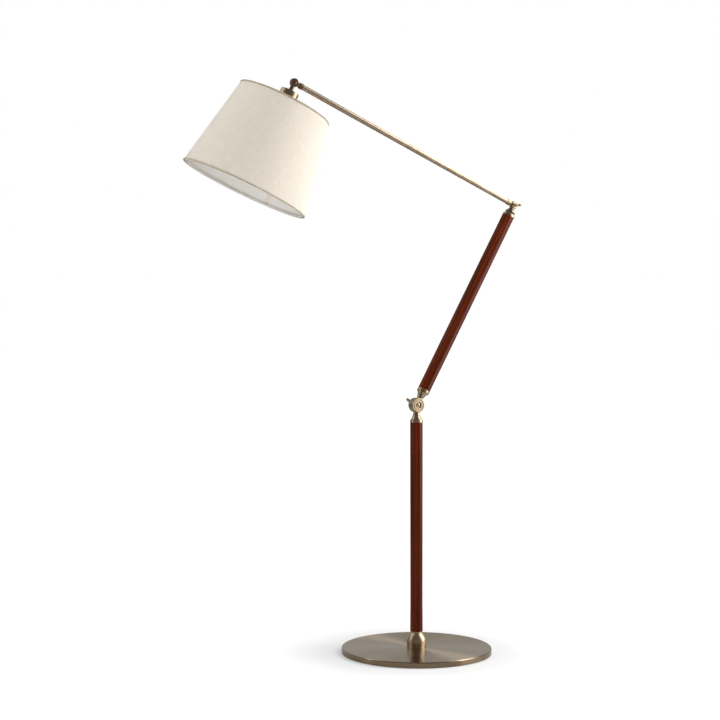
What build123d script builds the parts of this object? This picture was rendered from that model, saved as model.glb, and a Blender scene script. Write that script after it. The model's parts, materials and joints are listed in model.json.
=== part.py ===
from build123d import *
import math
import os

# Adjustable arm floor lamp, in millimetres. The origin is the centre of the base's
# underside and +Z is up. Both arms lie in the XZ plane: the upper pole leans towards +X
# and the rod with the shade reaches towards -X. Front is -Y and the cord leaves at +Y.

# ---- driving dimensions -------------------------------------------------------------

# base
BASE_R = 190.0
BASE_TOP = 15.0
BASE_SKIN = 1.5
BASE_EDGE_R = 2.5
SKIRT_BOTTOM = 1.0
PAD_R = 187.0
PAD_T = 2.5
RECESS_R = 22.0
RECESS_TOP = 10.0
WASHER_R = 12.0
WASHER_T = 1.6
NUT_FLATS = 19.0
NUT_T = 5.0

# cord gland in the rear of the rim
GLAND_Z = 7.0
GLAND_BORE_R = 3.2
GLAND_R = 4.0
GLAND_FLANGE_R = 5.2
GLAND_FLANGE_T = 1.5
GLAND_LENGTH = 10.0
CORD_SLOT_W = 9.0

# clearances between pieces: pressed, snug and sliding
PRESSED = 0.02
SNUG = 0.05
SLIDING = 0.1
CLEAR = 0.5

# length that a cutting tool runs past the material
PAST = 1.0

# wiring pipe shared by both poles
PIPE_R = 6.0
PIPE_BORE_R = 4.5
PIPE_HOLE_R = 6.2
PIPE_INSERT = 12.0
TOP_PIPE_INSERT = 6.0

# collar on the base
COLLAR_H = 36.0
COLLAR_BOTTOM_R = 24.3
COLLAR_BELLY_R = 25.3
COLLAR_BELLY_Z = 15.0
COLLAR_TOP_R = 15.4
COLLAR_NECK_R = 14.6
COLLAR_NECK_H = 3.0

# wooden poles and their ferrules
POLE_R = 16.0
POLE_LENGTH = 531.0
POLE_CHAMFER = 0.5
FERRULE_R = 16.2
FERRULE_H = 7.0
FERRULE_EDGE_R = 1.0

# elbow knuckle: two half drums side by side on one bolt
DRUM_R = 18.5
DRUM_HALF_T = 10.0
DRUM_GAP = 1.2
DRUM_EDGE_R = 1.5
NECK_LENGTH = 37.0
NECK_DRUM_R = 7.2
NECK_FOOT_R = 13.4
NECK_FOOT_H = 2.0
NECK_START = 6.0
ELBOW_WIRE_WAY_R = 3.375
ELBOW_BOLT_R = 3.0
ELBOW_BOLT_HOLE_R = 3.08
ELBOW_RING_IN_R = 8.4
ELBOW_RING_OUT_R = 12.6
ELBOW_GROOVE_R = 14.6
ELBOW_FACE_STEP = 1.2
ELBOW_RECESS_DEPTH = 2.6
ELBOW_HEAD_R = 5.4
ELBOW_HEAD_T = 2.4
ELBOW_SLOT_W = 1.3
ELBOW_SLOT_TURN = 28.0
ELBOW_THREAD = 15.0
SPRING_WASHER_R = 7.5
SPRING_WASHER_T = 1.0
SPRING_WASHER_GAP = 0.15
ELBOW_WING_REACH = 22.5
ELBOW_WING_TURN = -37.0

# top knuckle between the upper pole and the rod
TOP_R = 10.0
TOP_HALF_T = 6.5
TOP_GAP = 0.8
TOP_EDGE_R = 2.2
TOP_NECK_LENGTH = 24.0
TOP_NECK_KNUCKLE_R = 6.4
TOP_BOLT_R = 2.0
TOP_BOLT_HOLE_R = 2.07
TOP_HEAD_R = 3.6
TOP_HEAD_T = 1.6
TOP_SLOT_W = 0.9
TOP_THREAD = 10.0
TOP_WIRE_WAY_R = 2.6
KNUCKLE_NECK_START = 3.0
TOP_WING_REACH = 14.5
TOP_WING_TURN = 101.0

# rod between the top knuckle and the head knuckle
ROD_R = 6.5
ROD_BORE_R = 5.4
ROD_FERRULE_R = 7.6
ROD_FERRULE_L = 9.0
ROD_NECK_R = 4.6
ROD_PLUG_R = 5.3
ROD_PLUG_L = 16.0
ROD_START = 17.0
ROD_END_GAP = 16.5
SWIVEL_PIN_R = 3.6
SWIVEL_HOLE_R = 3.68
SWIVEL_WEB = 4.0
SWIVEL_NUT_R = 5.0
SWIVEL_NUT_T = 4.0
ROD_FERRULE_LIP = 1.5

# head knuckle
HEAD_KNUCKLE_R = 10.5
HEAD_HALF_T = 5.5
HEAD_GAP = 0.8
HEAD_NECK_R = 5.6
HEAD_THREAD = 4.0
HEAD_NUT_FLATS = 7.0
HEAD_NUT_T = 3.0
HEAD_WIRE_WAY_R = 2.2
STEM_R = 5.4
STEM_COLLAR_R = 8.0
STEM_COLLAR_H = 2.2

# lampholder, measured down the shade's axis from the head knuckle
CUP_TOP = 22.5
CUP_BOTTOM = 49.5
CUP_R = 23.0
CUP_WALL = 1.2
CUP_EDGE_R = 2.0
CUP_BEAD_R = 0.8
STEM_NUT_R = 9.0
STEM_NUT_T = 4.0
SOCKET_TOP = 46.0
SOCKET_BOTTOM = 101.0
SOCKET_R = 17.0
SOCKET_WALL = 1.5
SHOULDER_TOP = 58.6
SHOULDER_BOTTOM = 61.0
SHOULDER_R = 20.0
CORE_BOTTOM = 66.0
SHELL_TOP = 68.5
SHELL_BOTTOM = 98.0
SHELL_R = 14.7
SHELL_BORE_R = 13.6
CONTACT_R = 5.0
CONTACT_T = 1.0
CLAMP_RING_R = 21.0
CLAMP_RING_H = 7.0
KNOB_DEPTH = 54.2
KNOB_SHAFT_R = 1.6
KNOB_SHAFT_HOLE_R = 1.68
KNOB_R = 4.0
KNOB_LENGTH = 11.0
KNOB_STANDOFF = 3.0
KNOB_FLUTES = 10
KNOB_FLUTE_R = 0.8
KNOB_DIRECTION = 90.0

# bulb
BULB_BASE_R = 13.2
BULB_BASE_TOP = 70.0
BULB_BASE_BOTTOM = 99.0
BULB_BUTTON_R = 4.0
BULB_R = 30.0
BULB_CENTRE = 149.0
BULB_NECK_R = 12.6
BULB_WALL = 0.9

# shade
SHADE_TOP = 53.0
SHADE_H = 231.0
SHADE_TOP_R = 116.7
SHADE_BOTTOM_R = 160.4
LINEN_T = 0.8
LINER_T = 0.8
TRIM_T = 0.6
TRIM_H = 3.2
WIRE_R = 2.0
SPIDER_PLATE_T = 1.8
SPIDER_PLATE_R = 25.0
SPIDER_HOLE_R = 17.3
SPIDER_ARMS = 3
SPIDER_ARM_R = 1.7
SPIDER_TURN = 30.0

# pose of the arms
ELBOW_LEAN = 30.7
UPPER_LENGTH = 612.7
ROD_RISE = 20.9
ROD_LENGTH = 716.0
HEAD_SWIVEL = -11.8
HEAD_TILT = 91.4

# ---- derived places -----------------------------------------------------------------

COLLAR_TOP = BASE_TOP + COLLAR_H + COLLAR_NECK_H
POLE_TOP = COLLAR_TOP + POLE_LENGTH
ELBOW_Z = POLE_TOP + FERRULE_H + NECK_LENGTH

lower_frame = Location((0, 0, ELBOW_Z))
upper_frame = lower_frame * Location((0, 0, 0), (0, ELBOW_LEAN, 0))
rod_frame = (
    upper_frame
    * Location((0, 0, UPPER_LENGTH))
    * Location((0, 0, 0), (0, ROD_RISE - 90 - ELBOW_LEAN, 0))
)
link_frame = rod_frame * Location((0, 0, ROD_LENGTH), (0, 0, HEAD_SWIVEL))
head_frame = link_frame * Location((0, 0, 0), (0, HEAD_TILT, 0))


# ---- shape helpers ------------------------------------------------------------------


def lathe(*outline):
    """A solid turned about Z from (radius, height) corners or ready edges."""
    face = make_face(Plane.XZ * Polyline(*outline, close=True))
    return revolve(face, Axis.Z)


def turned(edges):
    """A solid turned about Z from a closed run of edges drawn in the XZ plane."""
    return revolve(make_face(Plane.XZ * Curve(edges)), Axis.Z)


def tube(outer, inner, low, high):
    """A straight tube about Z."""
    return lathe((inner, low), (outer, low), (outer, high), (inner, high))


def rod(radius, low, high):
    """A straight round bar about Z."""
    return Pos(0, 0, low) * Cylinder(
        radius, high - low, align=(Align.CENTER, Align.CENTER, Align.MIN)
    )


def across(radius, near, far):
    """A round bar along Y, from y = near to y = far."""
    return Rot(-90, 0, 0) * rod(radius, near, far)


def hexagon(flats, low, high):
    """A hexagonal bar about Z."""
    corner_r = flats / math.sqrt(3)
    return Pos(0, 0, low) * extrude(RegularPolygon(corner_r, 6), high - low)


def round_ends(solid, radius, axis=Axis.Z):
    """The solid with its outermost rim at each end of the axis rounded."""
    for face in (solid.faces().sort_by(axis)[0], solid.faces().sort_by(axis)[-1]):
        rim = face.edges().sort_by(SortBy.LENGTH)[-1]
        solid = fillet(rim, radius)
    return solid


# ---- base ---------------------------------------------------------------------------


def base_cover():
    shell = rod(BASE_R, SKIRT_BOTTOM, BASE_TOP)
    shell = fillet(shell.edges().group_by(Axis.Z)[-1], BASE_EDGE_R)
    inner = rod(BASE_R - BASE_SKIN, SKIRT_BOTTOM - PAST, BASE_TOP - BASE_SKIN)
    inner = fillet(inner.edges().group_by(Axis.Z)[-1], BASE_EDGE_R - BASE_SKIN)
    stem_hole = rod(PIPE_HOLE_R, 0, BASE_TOP + PAST)
    gland_hole = Pos(0, 0, GLAND_Z) * across(GLAND_R + SLIDING, BASE_R - 8, BASE_R + 8)
    return shell - inner - stem_hole - gland_hole


def base_weight():
    top = BASE_TOP - BASE_SKIN
    disc = rod(BASE_R - BASE_SKIN - CLEAR, PAD_T, top)
    disc = chamfer(disc.edges().group_by(Axis.Z)[-1], BASE_EDGE_R)
    recess = rod(RECESS_R, PAD_T - PAST, RECESS_TOP)
    stem_hole = rod(PIPE_HOLE_R, PAD_T, top + PAST)
    slot_top = GLAND_Z + GLAND_R + 0.3
    slot_h = slot_top - PAD_T + PAST
    slot = Pos(0, BASE_R / 2, slot_top - slot_h / 2) * Box(CORD_SLOT_W, BASE_R, slot_h)
    return disc - recess - stem_hole - slot


def base_pad():
    return rod(PAD_R, 0, PAD_T)


def cord_gland():
    back = BASE_R + GLAND_FLANGE_T
    body = across(GLAND_R, back - GLAND_LENGTH, back)
    flange = across(GLAND_FLANGE_R, BASE_R + SNUG, back)
    flange = fillet(flange.edges().group_by(Axis.Y)[-1], GLAND_FLANGE_T / 2)
    bore = across(GLAND_BORE_R, back - GLAND_LENGTH - PAST, back + PAST)
    return Pos(0, 0, GLAND_Z) * (body + flange - bore)


def base_washer():
    return tube(WASHER_R, PIPE_HOLE_R, RECESS_TOP - WASHER_T, RECESS_TOP)


def base_nut():
    top = RECESS_TOP - WASHER_T
    return hexagon(NUT_FLATS, top - NUT_T, top) - rod(PIPE_R + PRESSED, 0, RECESS_TOP)


def lower_pipe():
    low = RECESS_TOP - WASHER_T - NUT_T
    return tube(PIPE_R, PIPE_BORE_R, low, ELBOW_Z - NECK_LENGTH + PIPE_INSERT)


def base_collar():
    z0 = BASE_TOP
    belly = (COLLAR_BELLY_R, z0 + COLLAR_BELLY_Z)
    shoulder = (COLLAR_TOP_R + 0.6, z0 + COLLAR_H - 0.8)
    neck_top = z0 + COLLAR_H + COLLAR_NECK_H
    outline = [
        Line((PIPE_HOLE_R, z0), (COLLAR_BOTTOM_R, z0)),
        Spline(
            (COLLAR_BOTTOM_R, z0),
            belly,
            shoulder,
            tangents=[(0.12, 1), (-1, 1.05)],
        ),
        Line(shoulder, (COLLAR_TOP_R, z0 + COLLAR_H)),
        Line((COLLAR_TOP_R, z0 + COLLAR_H), (COLLAR_NECK_R, z0 + COLLAR_H)),
        Line((COLLAR_NECK_R, z0 + COLLAR_H), (COLLAR_NECK_R, neck_top)),
        Line((COLLAR_NECK_R, neck_top), (PIPE_HOLE_R, neck_top)),
        Line((PIPE_HOLE_R, neck_top), (PIPE_HOLE_R, z0)),
    ]
    return turned(outline)


def wooden_pole():
    """A turned pole about Z, from 0 up, bored for the wiring pipe."""
    pole = tube(POLE_R, PIPE_HOLE_R, 0, POLE_LENGTH)
    rims = [
        e
        for e in pole.edges().filter_by(GeomType.CIRCLE)
        if abs(e.radius - POLE_R) < 0.1
    ]
    return chamfer(rims, POLE_CHAMFER)


def ferrule():
    """A brass end ring about Z, from 0 up."""
    ring = tube(FERRULE_R, PIPE_HOLE_R, 0, FERRULE_H)
    return round_ends(ring, FERRULE_EDGE_R)


# ---- knuckles -----------------------------------------------------------------------


def bell_neck(knuckle_r, foot_r, foot_h, start, length):
    """A trumpet-shaped neck below the pivot, widening down to its foot."""
    foot_top = foot_h - length
    bend = (knuckle_r + 0.18 * (foot_r - knuckle_r), (foot_top - start) * 0.52)
    outline = [
        Line((0, -start), (knuckle_r, -start)),
        ThreePointArc((knuckle_r, -start), bend, (foot_r, foot_top)),
        Line((foot_r, foot_top), (foot_r, -length)),
        Line((foot_r, -length), (0, -length)),
        Line((0, -length), (0, -start)),
    ]
    return turned(outline)


def half_drum(radius, gap, thickness, side, edge_r):
    """Half of a knuckle: a disc on one side of the arm's middle plane."""
    faces_y = sorted((side * gap / 2, side * (gap / 2 + thickness)))
    disc = across(radius, *faces_y)
    outer = disc.edges().filter_by(GeomType.CIRCLE).sort_by(Axis.Y)
    return fillet(outer[-1] if side > 0 else outer[0], edge_r)


def other_half_space(radius, gap, side):
    """The room that the opposite half sweeps through."""
    faces_y = sorted((side * gap / 2, -side * 60))
    return across(radius + CLEAR, *faces_y)


def elbow_half():
    """The front half drum with its neck pointing down Z; turned over, it is the back."""
    neck = bell_neck(NECK_DRUM_R, NECK_FOOT_R, NECK_FOOT_H, NECK_START, NECK_LENGTH)
    neck -= other_half_space(DRUM_R, DRUM_GAP, -1)
    drum = half_drum(DRUM_R, DRUM_GAP, DRUM_HALF_T, -1, DRUM_EDGE_R)
    pipe_socket = rod(PIPE_R + SLIDING, -NECK_LENGTH - PAST, -NECK_LENGTH + PIPE_INSERT)
    wire_way = rod(ELBOW_WIRE_WAY_R, -NECK_LENGTH, -DRUM_R + 4)
    return drum + neck - pipe_socket - wire_way


def elbow_lower_hub():
    """The front half of the elbow, with a ringed face and a sunk bolt seat."""
    hub = elbow_half()
    face_y = -(DRUM_GAP / 2 + DRUM_HALF_T)
    groove = across(ELBOW_GROOVE_R, face_y - PAST, face_y + ELBOW_FACE_STEP)
    groove -= across(ELBOW_RING_OUT_R, face_y - 2 * PAST, face_y + ELBOW_FACE_STEP + PAST)
    recess = across(ELBOW_RING_IN_R, face_y - PAST, face_y + ELBOW_RECESS_DEPTH)
    bolt_hole = across(ELBOW_BOLT_R + PRESSED, face_y, 0)
    hub -= groove + recess + bolt_hole
    return lower_frame * hub


def elbow_upper_hub():
    """The back half of the elbow, which turns with the upper pole."""
    hub = Rot(180, 0, 0) * elbow_half()
    hub -= across(ELBOW_BOLT_HOLE_R, 0, DRUM_GAP + DRUM_HALF_T + PAST)
    return upper_frame * hub


def elbow_washer():
    """The fibre friction washer between the two half drums."""
    half = DRUM_GAP / 2 - SLIDING
    disc = across(DRUM_R - 2.5, -half, half)
    return lower_frame * (disc - across(ELBOW_BOLT_R + SNUG, -DRUM_GAP, DRUM_GAP))


def slotted_bolt(shaft_r, head_r, head_t, seat, tip, slot_w):
    """A bolt along +Y: its domed head sits on y = seat and its shaft ends at y = tip."""
    outline = [
        Line((0, 0), (head_r, 0)),
        Line((head_r, 0), (head_r, head_t * 0.35)),
        ThreePointArc(
            (head_r, head_t * 0.35), (head_r * 0.6, head_t * 0.86), (0, head_t)
        ),
        Line((0, head_t), (0, 0)),
    ]
    slot = Pos(0, 0, head_t) * Box(head_r * 3, slot_w, head_t * 0.9)
    head = Pos(0, seat, 0) * Rot(90, 0, 0) * (turned(outline) - slot)
    return head + across(shaft_r, seat, tip)


def elbow_bolt():
    seat = -(DRUM_GAP / 2 + DRUM_HALF_T) + ELBOW_RECESS_DEPTH
    tip = DRUM_GAP / 2 + DRUM_HALF_T + ELBOW_THREAD
    bolt = slotted_bolt(ELBOW_BOLT_R, ELBOW_HEAD_R, ELBOW_HEAD_T, seat, tip, ELBOW_SLOT_W)
    return lower_frame * Rot(0, ELBOW_SLOT_TURN, 0) * bolt


def wing_nut(hole_r, boss_r, boss_h, reach, wing_h, wing_t):
    """A wing nut about Z, from 0 up, with its wings along X and rising outwards."""
    boss = Cone(boss_r, boss_r * 0.72, boss_h, align=(Align.CENTER, Align.CENTER, Align.MIN))
    root = boss_r * 0.4
    tip_r = wing_h * 0.36
    tip = (reach - tip_r, wing_h - tip_r)
    wings = []
    for side in (1, -1):
        blade = make_hull(
            [
                Line((side * root, 0.8), (side * root, boss_h * 0.9)),
                Pos(side * tip[0], tip[1]) * Edge.make_circle(tip_r),
            ]
        )
        solid = extrude(Plane.XZ * blade, wing_t / 2, both=True)
        wings.append(solid)
    nut = boss + wings[0] + wings[1]
    return nut - rod(hole_r, -PAST, wing_h + PAST)


def elbow_spring_washer():
    back = DRUM_GAP / 2 + DRUM_HALF_T + SPRING_WASHER_GAP
    disc = across(SPRING_WASHER_R, back, back + SPRING_WASHER_T)
    hole = across(ELBOW_BOLT_R + SNUG, back - PAST, back + SPRING_WASHER_T + PAST)
    return lower_frame * (disc - hole)


def elbow_wing_nut():
    back = DRUM_GAP / 2 + DRUM_HALF_T + SPRING_WASHER_T + 2 * SPRING_WASHER_GAP
    nut = wing_nut(ELBOW_BOLT_HOLE_R, 7.0, 8.0, ELBOW_WING_REACH, 16.0, 3.0)
    nut = Pos(0, back, 0) * Rot(-90, 0, 0) * nut
    return lower_frame * Rot(0, ELBOW_WING_TURN - 90, 0) * nut


def top_hub():
    """The back half of the top knuckle, on a trumpet neck over the upper ferrule."""
    neck = bell_neck(
        TOP_NECK_KNUCKLE_R, NECK_FOOT_R, NECK_FOOT_H, KNUCKLE_NECK_START, TOP_NECK_LENGTH
    )
    neck -= other_half_space(TOP_R, TOP_GAP, 1)
    drum = half_drum(TOP_R, TOP_GAP, TOP_HALF_T, 1, TOP_EDGE_R)
    bolt_hole = across(TOP_BOLT_R + PRESSED, 0, TOP_GAP / 2 + TOP_HALF_T + PAST)
    pipe_socket = rod(
        PIPE_R + SLIDING, -TOP_NECK_LENGTH - PAST, -TOP_NECK_LENGTH + TOP_PIPE_INSERT
    )
    wire_way = rod(TOP_WIRE_WAY_R, -TOP_NECK_LENGTH, -TOP_R)
    hub = drum + neck - bolt_hole - pipe_socket - wire_way
    return upper_frame * Pos(0, 0, UPPER_LENGTH) * hub


def rod_hub():
    """The front half of the top knuckle, with a plug that fills the rod's end."""
    drum = half_drum(TOP_R, TOP_GAP, TOP_HALF_T, -1, TOP_EDGE_R)
    neck = rod(ROD_NECK_R, KNUCKLE_NECK_START, ROD_START)
    neck -= other_half_space(TOP_R, TOP_GAP, -1)
    plug = rod(ROD_PLUG_R, ROD_START, ROD_START + ROD_PLUG_L)
    wire_way = rod(TOP_WIRE_WAY_R, TOP_R + 1.5, ROD_START + ROD_PLUG_L + PAST)
    bolt_hole = across(TOP_BOLT_HOLE_R, -TOP_GAP - TOP_HALF_T, 0)
    return rod_frame * (drum + neck + plug - wire_way - bolt_hole)


def top_bolt():
    """The pivot bolt of the top knuckle: its head is behind and its thread in front."""
    seat = -(TOP_GAP / 2 + TOP_HALF_T)
    tip = TOP_GAP / 2 + TOP_HALF_T + TOP_THREAD
    bolt = slotted_bolt(TOP_BOLT_R, TOP_HEAD_R, TOP_HEAD_T, seat, tip, TOP_SLOT_W)
    return upper_frame * Pos(0, 0, UPPER_LENGTH) * Rot(0, 0, 180) * bolt


def top_washer():
    half = TOP_GAP / 2 - SLIDING
    disc = across(TOP_R - 1.5, -half, half)
    hole = across(TOP_BOLT_R + SNUG, -TOP_GAP, TOP_GAP)
    return upper_frame * Pos(0, 0, UPPER_LENGTH) * (disc - hole)


def top_wing_nut():
    front = TOP_GAP / 2 + TOP_HALF_T + SPRING_WASHER_GAP
    nut = wing_nut(TOP_BOLT_HOLE_R, 5.0, 6.0, TOP_WING_REACH, 12.0, 2.4)
    nut = Pos(0, -front, 0) * Rot(90, 0, 0) * nut
    return Location(rod_frame.position) * Rot(0, TOP_WING_TURN - 90, 0) * nut


# ---- rod ----------------------------------------------------------------------------


def brass_rod():
    high = ROD_LENGTH - ROD_END_GAP
    return rod_frame * tube(ROD_R, ROD_BORE_R, ROD_START + ROD_FERRULE_LIP, high)


def rod_inner_ferrule():
    low = ROD_START - ROD_FERRULE_LIP
    ring = tube(ROD_FERRULE_R, ROD_NECK_R + SLIDING, low, ROD_START)
    sleeve = tube(ROD_FERRULE_R, ROD_R + SNUG, ROD_START, low + ROD_FERRULE_L)
    return rod_frame * round_ends(ring + sleeve, 0.8)


def rod_outer_ferrule():
    """The end sleeve of the rod, whose inner web carries the head's swivel."""
    high = ROD_LENGTH - ROD_END_GAP
    web = tube(ROD_PLUG_R, SWIVEL_HOLE_R, high - SWIVEL_WEB, high)
    end = high + ROD_FERRULE_LIP
    sleeve = tube(ROD_FERRULE_R, ROD_R + SNUG, end - ROD_FERRULE_L, high)
    cap = tube(ROD_FERRULE_R, SWIVEL_HOLE_R, high, end)
    ring = sleeve + cap + web
    outer = ring.edges().filter_by(GeomType.CIRCLE).filter_by(
        lambda e: abs(e.radius - ROD_FERRULE_R) < 0.01
    )
    return rod_frame * fillet(outer, 0.6)


# ---- head ---------------------------------------------------------------------------


def head_link():
    """The half knuckle that swivels in the rod's end on a round pin."""
    half = half_drum(HEAD_KNUCKLE_R, HEAD_GAP, HEAD_HALF_T, 1, TOP_EDGE_R)
    shoulder_z = -(ROD_END_GAP - ROD_FERRULE_LIP) + SLIDING
    neck = rod(HEAD_NECK_R, shoulder_z, -KNUCKLE_NECK_START)
    neck -= other_half_space(HEAD_KNUCKLE_R, HEAD_GAP, 1)
    pin_end = -(ROD_END_GAP + SWIVEL_WEB + SWIVEL_NUT_T + 2 * SLIDING)
    pin = rod(SWIVEL_PIN_R, pin_end, shoulder_z)
    wire_way = rod(HEAD_WIRE_WAY_R, pin_end - PAST, -HEAD_KNUCKLE_R - 1)
    bolt_hole = across(TOP_BOLT_R + PRESSED, 0, HEAD_GAP + HEAD_HALF_T)
    return link_frame * (half + neck + pin - wire_way - bolt_hole)


def swivel_nut():
    """The round nut inside the rod that holds the swivel pin."""
    high = -(ROD_END_GAP + SWIVEL_WEB) - SLIDING
    return link_frame * tube(SWIVEL_NUT_R, SWIVEL_PIN_R, high - SWIVEL_NUT_T, high)


def head_bolt():
    """The pivot bolt of the head knuckle, with its head in front."""
    seat = -(HEAD_GAP / 2 + HEAD_HALF_T) - SLIDING
    tip = HEAD_GAP / 2 + HEAD_HALF_T + HEAD_THREAD
    bolt = slotted_bolt(TOP_BOLT_R, TOP_HEAD_R, TOP_HEAD_T, seat, tip, TOP_SLOT_W)
    return link_frame * bolt


def head_nut():
    low = HEAD_GAP / 2 + HEAD_HALF_T
    nut = hexagon(HEAD_NUT_FLATS, low, low + HEAD_NUT_T) - rod(TOP_BOLT_R, 0, low + 5)
    return link_frame * Rot(-90, 0, 0) * nut


def head_washer():
    half = HEAD_GAP / 2 - SLIDING
    disc = across(HEAD_KNUCKLE_R - 1.5, -half, half)
    return link_frame * (disc - across(TOP_BOLT_R + SNUG, -HEAD_GAP, HEAD_GAP))


def head_hub():
    """The half knuckle that tilts, with the stem that carries the lampholder."""
    half = half_drum(HEAD_KNUCKLE_R, HEAD_GAP, HEAD_HALF_T, -1, TOP_EDGE_R)
    stem = rod(STEM_R, -CUP_TOP - CUP_WALL - STEM_NUT_T - 1, -KNUCKLE_NECK_START)
    foot = rod(STEM_COLLAR_R, -CUP_TOP, -CUP_TOP + STEM_COLLAR_H)
    foot = fillet(foot.edges().group_by(Axis.Z)[-1], 1.2)
    stem -= other_half_space(HEAD_KNUCKLE_R, HEAD_GAP, -1)
    wire_way = rod(HEAD_WIRE_WAY_R, -CUP_TOP - 12, -HEAD_KNUCKLE_R - 1)
    bolt_hole = across(TOP_BOLT_HOLE_R, -HEAD_GAP - HEAD_HALF_T, 0)
    return head_frame * (half + stem + foot - wire_way - bolt_hole)


def socket_cup():
    cup = rod(CUP_R, -CUP_BOTTOM, -CUP_TOP)
    cup = fillet(cup.edges().group_by(Axis.Z)[-1], CUP_EDGE_R)
    hollow = rod(CUP_R - CUP_WALL, -CUP_BOTTOM - PAST, -CUP_TOP - CUP_WALL)
    hollow = fillet(hollow.edges().group_by(Axis.Z)[-1], CUP_EDGE_R - CUP_WALL)
    bead = Pos(0, 0, -CUP_BOTTOM + CUP_BEAD_R) * Torus(CUP_R, CUP_BEAD_R)
    return head_frame * (cup + bead - hollow - rod(STEM_R + SLIDING, -CUP_BOTTOM, 0))


def stem_nut():
    low = -CUP_TOP - CUP_WALL - STEM_NUT_T
    nut = hexagon(STEM_NUT_R * 2, low, low + STEM_NUT_T) - rod(STEM_R, low - PAST, 0)
    return head_frame * nut


def socket_body():
    """The lampholder's barrel, with the shoulder that the shade is clamped to."""
    barrel = rod(SOCKET_R, -SOCKET_BOTTOM, -SOCKET_TOP)
    barrel = fillet(barrel.edges().group_by(Axis.Z)[-1], 2)
    shoulder = rod(SHOULDER_R, -SHOULDER_BOTTOM, -SHOULDER_TOP)
    core_room = rod(SOCKET_R - SOCKET_WALL, -SOCKET_BOTTOM - PAST, -SOCKET_TOP - 2)
    wire_hole = rod(STEM_R, -SOCKET_TOP - 3, 0)
    body = barrel + shoulder - core_room - wire_hole
    return head_frame * (body - knob_hole())


def knob_axis():
    """The switch axis: it points sideways out of the lampholder."""
    return Pos(0, 0, -KNOB_DEPTH) * Rot(0, 0, KNOB_DIRECTION) * Rot(0, 90, 0)


def knob_hole():
    return knob_axis() * rod(KNOB_SHAFT_HOLE_R, 5, SOCKET_R + 5)


def socket_core():
    """The insulating block with the switch inside, above the bulb."""
    core = rod(SOCKET_R - SOCKET_WALL - SLIDING, -CORE_BOTTOM, -SOCKET_TOP - 2)
    return head_frame * (core - knob_hole())


def socket_shell():
    shell = tube(SHELL_R, SHELL_BORE_R, -SHELL_BOTTOM, -SHELL_TOP)
    return head_frame * shell


def socket_sleeve():
    """The insulating sleeve between the threaded shell and the barrel."""
    outer = SOCKET_R - SOCKET_WALL - SLIDING
    sleeve = tube(outer, SHELL_R + SNUG, -SOCKET_BOTTOM + 1, -CORE_BOTTOM - SLIDING)
    return head_frame * sleeve


def socket_contact():
    leaf = rod(CONTACT_R, -CORE_BOTTOM - CONTACT_T, -CORE_BOTTOM)
    return head_frame * leaf


def shade_clamp_ring():
    top = -SHOULDER_BOTTOM - SPIDER_PLATE_T
    ring = tube(CLAMP_RING_R, SOCKET_R + SNUG, top - CLAMP_RING_H, top)
    return head_frame * round_ends(ring, 1.0)


def switch_knob():
    low = SOCKET_R + KNOB_STANDOFF
    shaft = rod(KNOB_SHAFT_R, 6, low + 1)
    grip = rod(KNOB_R, low, low + KNOB_LENGTH)
    grip = fillet(grip.edges().group_by(Axis.Z)[-1], 1.2)
    for i in range(KNOB_FLUTES):
        flute = Rot(0, 0, i * 360 / KNOB_FLUTES) * Pos(KNOB_R + 0.35, 0, 0)
        grip -= flute * rod(KNOB_FLUTE_R, low - PAST, low + KNOB_LENGTH - 2)
    return head_frame * knob_axis() * (shaft + grip)


# ---- bulb ---------------------------------------------------------------------------


def bulb_base():
    shell = rod(BULB_BASE_R, -BULB_BASE_BOTTOM, -BULB_BASE_TOP)
    shell = fillet(shell.edges().group_by(Axis.Z)[-1], 3)
    button = rod(BULB_BUTTON_R, -BULB_BASE_TOP - 1, -CORE_BOTTOM - CONTACT_T)
    return head_frame * (shell + button)


def bulb_outline(grow):
    """The glass envelope's profile, moved out by grow: neck, flare and globe."""
    globe_r = BULB_R + grow
    neck_r = BULB_NECK_R + grow
    join_angle = math.radians(42)
    join = (globe_r * math.cos(join_angle), -BULB_CENTRE + globe_r * math.sin(join_angle))
    crown = (0, -BULB_CENTRE - globe_r)
    side = (globe_r, -BULB_CENTRE)
    neck_top = (neck_r, -BULB_BASE_BOTTOM)
    flare = Spline(
        neck_top,
        join,
        tangents=[(0, -1), (math.sin(join_angle), -math.cos(join_angle))],
    )
    return [
        Line((0, -BULB_BASE_BOTTOM), neck_top),
        flare,
        ThreePointArc(join, side, crown),
        Line(crown, (0, -BULB_BASE_BOTTOM)),
    ]


def bulb_glass():
    glass = turned(bulb_outline(0)) - turned(bulb_outline(-BULB_WALL))
    return head_frame * glass


# ---- shade --------------------------------------------------------------------------


def shade_r(depth):
    """The linen's outer radius at a depth below the head knuckle."""
    share = (depth - SHADE_TOP) / SHADE_H
    return SHADE_TOP_R + share * (SHADE_BOTTOM_R - SHADE_TOP_R)


def shade_layer(outer, inner, margin):
    """A cone wall between two distances inside the linen's outer face."""
    top = SHADE_TOP + margin
    bottom = SHADE_TOP + SHADE_H - margin
    return lathe(
        (shade_r(top) - inner, -top),
        (shade_r(top) - outer, -top),
        (shade_r(bottom) - outer, -bottom),
        (shade_r(bottom) - inner, -bottom),
    )


def shade_linen():
    return head_frame * shade_layer(0, LINEN_T, TRIM_T)


def shade_liner():
    return head_frame * shade_layer(LINEN_T, LINEN_T + LINER_T, TRIM_T)


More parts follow.
